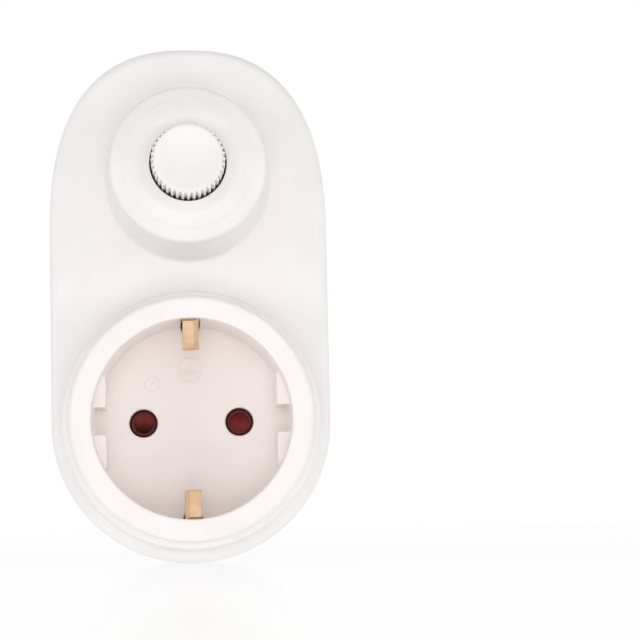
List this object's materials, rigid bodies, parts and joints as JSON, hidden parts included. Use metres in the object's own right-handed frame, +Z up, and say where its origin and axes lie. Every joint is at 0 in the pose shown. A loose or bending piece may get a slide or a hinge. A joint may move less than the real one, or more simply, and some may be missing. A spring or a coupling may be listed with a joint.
{
  "type": "plug-in dimmer",
  "caption": "Slim white plug-in dimmer: a ribbed knob on a round turret above a side-earth socket in a raised collar, with the matching earthed plug behind and the dimmer circuit inside.",
  "frame": {"origin": "middle between the two plug pins, on the plug face that they leave", "axes": "+Y along the plug pins, into the wall; +Z up, from the socket to the knob; +X to the right as the user faces it"},
  "size_m": [0.0556, 0.078, 0.1034],
  "materials": {
    "case_white": "semi-gloss moulded white plastic",
    "insert_white": "smooth warm white moulded plastic",
    "knob_white": "satin white moulded plastic",
    "shutter_red": "dark red moulded plastic",
    "steel": "zinc-plated steel",
    "carrier_ivory": "plain thermoset",
    "contact_brass": "stamped brass",
    "nickel": "nickel-plated brass",
    "wire_brown": "soft insulation",
    "wire_black": "soft insulation",
    "board_green": "solder resist on glass-fibre board",
    "pot_metal": "pressed plated steel",
    "wafer_brown": "phenolic board with a carbon track",
    "wiper_grey": "moulded rotor",
    "black_resin": "moulded resin",
    "tinned_copper": "tinned sheet",
    "sink_aluminium": "bent sheet",
    "ferrite": "sintered ferrite",
    "winding_sleeve": "sleeved copper winding",
    "capacitor_yellow": "moulded box",
    "capacitor_red": "moulded box",
    "resistor_tan": "lacquered body",
    "diac_blue": "painted glass body",
    "fuse_tube": "clear glass tube"
  },
  "bodies": {
    "case": {"front_cover": "case_white", "rear_cover": "case_white", "socket_insert": "insert_white", "shutter_spring": "steel", "contact_carrier": "carrier_ivory", "line_contact": "contact_brass", "neutral_contact": "contact_brass", "socket_earth_bow": "contact_brass", "plug_earth_bow": "contact_brass", "earth_rivet": "contact_brass", "line_pin": "nickel", "neutral_pin": "nickel", "line_tag": "contact_brass", "live_wire": "wire_brown", "load_wire": "wire_black", "circuit_board": "board_green", "board_screws": "steel", "potentiometer_housing": "pot_metal", "resistance_track": "wafer_brown", "triac": "black_resin", "triac_tab": "tinned_copper", "heat_sink": "sink_aluminium", "triac_screw": "steel", "choke_core": "ferrite", "choke_winding": "winding_sleeve", "suppression_capacitor": "capacitor_yellow", "timing_capacitor": "capacitor_red", "resistors": "resistor_tan", "diac": "diac_blue", "fuse_glass": "fuse_tube", "fuse_caps": "nickel", "fuse_clips": "tinned_copper", "case_screws": "steel"},
    "knob": {"dimmer_knob": "knob_white", "potentiometer_shaft": "pot_metal", "potentiometer_wiper": "wiper_grey"},
    "shutter": {"shutter": "shutter_red"}
  },
  "joints": [
    {"name": "knob_turn", "type": "hinge", "parent": "case", "child": "knob", "pos_m": [0, -0.052, 0.049], "axis": [0, -1, 0], "range_deg": [-135, 135]},
    {"name": "shutter_turn", "type": "hinge", "parent": "case", "child": "shutter", "pos_m": [0, -0.0323, 0], "axis": [0, -1, 0], "range_deg": [0, 38], "stiffness_Nm_per_rad": 0.003, "springref_deg": -17.19, "deforming": ["shutter_spring"]}
  ]
}
